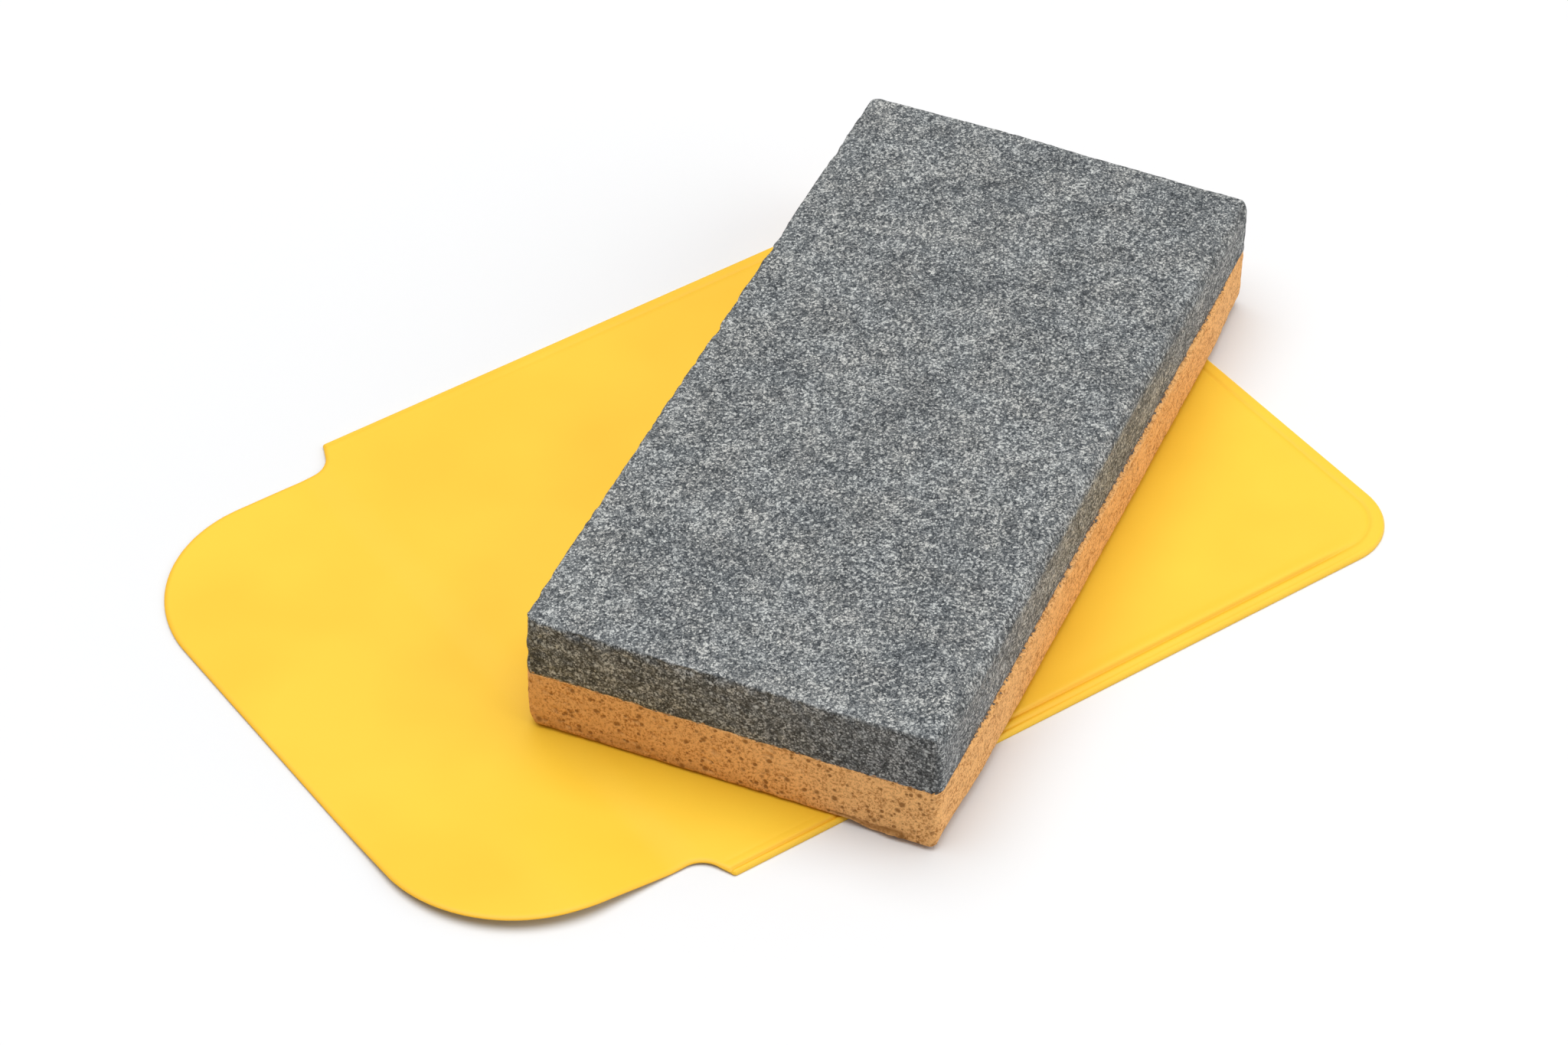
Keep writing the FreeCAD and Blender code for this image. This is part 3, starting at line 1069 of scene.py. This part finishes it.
FLOOR_HALF = 2000.0  # half the side of the floor, in millimetres
OVERHEAD_SOURCE, OVERHEAD_SPREAD = (-0.03, 0.09, 1.0), 1.10  # direction, and angle in radians
SIDE_SOURCE, SIDE_SPREAD = (0.75, -0.75, 0.45), 1.0


class STONE_OT_coarse_layer(Operator):
    """Build the coarse grey layer with its lapped face, ragged edges and wavy seam"""

    bl_idname = "sharpening_stone.coarse_layer"
    bl_label = "Coarse Grit Layer"

    def execute(self, context):
        """Make the piece, and let it ride on the stone."""
        settings = context.scene.sharpening_stone
        place = StonePlace()
        points, quads, attributes = coarse_layer(place, settings)
        material = coarse_grit_material(settings)
        piece = make_piece("coarse_grit", place.to_frame(points), quads, material, attributes)
        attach(piece, "stone")
        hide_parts("coarse_grit_layer")
        return {"FINISHED"}


class STONE_OT_fine_layer(Operator):
    """Build the fine orange layer with its pores, soft lower edges and wavy seam"""

    bl_idname = "sharpening_stone.fine_layer"
    bl_label = "Fine Grit Layer"

    def execute(self, context):
        """Make the piece, and let it ride on the stone."""
        settings = context.scene.sharpening_stone
        place = StonePlace()
        points, quads, attributes = fine_layer(place, settings)
        material = fine_grit_material(settings)
        piece = make_piece("fine_grit", place.to_frame(points), quads, material, attributes)
        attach(piece, "stone")
        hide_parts("fine_grit_layer")
        return {"FINISHED"}


class STONE_OT_sleeve(Operator):
    """Build the vinyl sleeve: the front sheet, and the back sheet with its welds and flap"""

    bl_idname = "sharpening_stone.sleeve"
    bl_label = "Vinyl Sleeve"

    def execute(self, context):
        """Make both sheets, let the front ride on the sleeve and leave the back sheet in place."""
        settings = context.scene.sharpening_stone_sleeve
        place = SleevePlace()
        vinyl = vinyl_material(settings)
        points, quads, area = front_sheet(place)
        front = make_piece("front_sheet", points, quads, vinyl)
        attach(front, "sleeve")
        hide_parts("sleeve_front_panel")
        points, quads, area, attributes = back_sheet(place, StonePlace(), settings)
        back = make_piece("back_sheet", points, quads, vinyl, attributes)
        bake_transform(back)
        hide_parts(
            "sleeve_back_panel",
            "tuck_flap",
            "near_side_weld",
            "far_side_weld",
            "closed_end_weld",
        )
        return {"FINISHED"}


class STONE_OT_stage(Operator):
    """Set up the white floor, the soft lights and the camera"""

    bl_idname = "sharpening_stone.stage"
    bl_label = "Stage"

    def execute(self, context):
        """Make the floor, the surroundings, two broad suns and the camera."""
        settings = context.scene.sharpening_stone_stage
        self.make_floor()
        self.make_sky(context.scene, settings.sky)
        self.make_softbox("overhead_softbox", settings.key, OVERHEAD_SPREAD, OVERHEAD_SOURCE)
        self.make_softbox("side_softbox", settings.side, SIDE_SPREAD, SIDE_SOURCE)
        self.make_camera(context.scene, settings)
        context.scene.view_settings.view_transform = "Standard"
        return {"FINISHED"}

    def make_floor(self):
        """A square of 4 m at the level that the sleeve lies on."""
        half = FLOOR_HALF
        corners = np.array(
            [(-half, -half, 0), (half, -half, 0), (half, half, 0), (-half, half, 0)], float
        )
        floor = make_piece("floor", corners, np.array([[0, 1, 2, 3]]), floor_material())

    def make_sky(self, scene, strength):
        """Even white light from everywhere."""
        world = bpy.data.worlds.new("white_surroundings")
        world.use_nodes = True
        background = world.node_tree.nodes["Background"]
        background.inputs["Color"].default_value = (1.0, 1.0, 1.0, 1.0)
        background.inputs["Strength"].default_value = strength
        scene.world = world

    def make_softbox(self, name, strength, spread, source):
        """A broad sun that shines from the source direction."""
        light = bpy.data.lights.new(name, "SUN")
        light.energy = strength
        light.angle = spread
        lamp = bpy.data.objects.new(name, light)
        lamp.rotation_mode = "QUATERNION"
        lamp.rotation_quaternion = Vector(source).to_track_quat("Z", "Y")
        bpy.context.scene.collection.objects.link(lamp)

    def make_camera(self, scene, settings):
        """A long lens on the aim from the given turn, height and distance."""
        lens = bpy.data.cameras.new("camera")
        lens.lens = settings.lens
        lens.sensor_width = 36.0
        lens.clip_start, lens.clip_end = 0.01, 10.0
        camera = bpy.data.objects.new("camera", lens)
        level = math.cos(settings.elevation)
        back = Vector(
            (
                math.sin(settings.azimuth) * level,
                -math.cos(settings.azimuth) * level,
                math.sin(settings.elevation),
            )
        )
        camera.rotation_mode = "QUATERNION"
        aimed = back.to_track_quat("Z", "Y").to_matrix() @ Matrix.Rotation(settings.roll, 3, "Z")
        camera.rotation_quaternion = aimed.to_quaternion()
        camera.location = Vector(settings.aim) + back * settings.distance
        scene.collection.objects.link(camera)
        scene.camera = camera


class STONE_PT_panel(Panel):
    """Lists the settings and the steps that build the stone and its sleeve"""

    bl_idname = "STONE_PT_panel"
    bl_label = "Sharpening Stone"
    bl_space_type = "VIEW_3D"
    bl_region_type = "UI"
    bl_category = "Sharpening Stone"

    def draw(self, context):
        """Each group's settings, then the buttons that build its pieces."""
        for group, operators in PANEL_ROWS:
            settings = getattr(context.scene, group)
            box = self.layout.box()
            for name in settings.__annotations__:
                box.prop(settings, name)
            for operator in operators:
                box.operator(operator.bl_idname)


PANEL_ROWS = (
    ("sharpening_stone", (STONE_OT_coarse_layer, STONE_OT_fine_layer)),
    ("sharpening_stone_sleeve", (STONE_OT_sleeve,)),
    ("sharpening_stone_stage", (STONE_OT_stage,)),
)
SETTINGS = {
    "sharpening_stone": StoneSettings,
    "sharpening_stone_sleeve": SleeveSettings,
    "sharpening_stone_stage": StageSettings,
}
CLASSES = (
    *SETTINGS.values(),
    STONE_OT_coarse_layer,
    STONE_OT_fine_layer,
    STONE_OT_sleeve,
    STONE_OT_stage,
    STONE_PT_panel,
)


def register():
    """Registers the classes and gives the scene its settings."""
    for item in CLASSES:
        bpy.utils.register_class(item)
    for name, group in SETTINGS.items():
        setattr(bpy.types.Scene, name, PointerProperty(type=group))


def unregister():
    """Takes the settings and the classes away again."""
    for name in SETTINGS:
        delattr(bpy.types.Scene, name)
    for item in reversed(CLASSES):
        bpy.utils.unregister_class(item)


def main():
    """Builds everything in order."""
    register()
    bpy.ops.sharpening_stone.stage()
    bpy.ops.sharpening_stone.sleeve()
    bpy.ops.sharpening_stone.fine_layer()
    bpy.ops.sharpening_stone.coarse_layer()


if __name__ == "__main__":
    main()
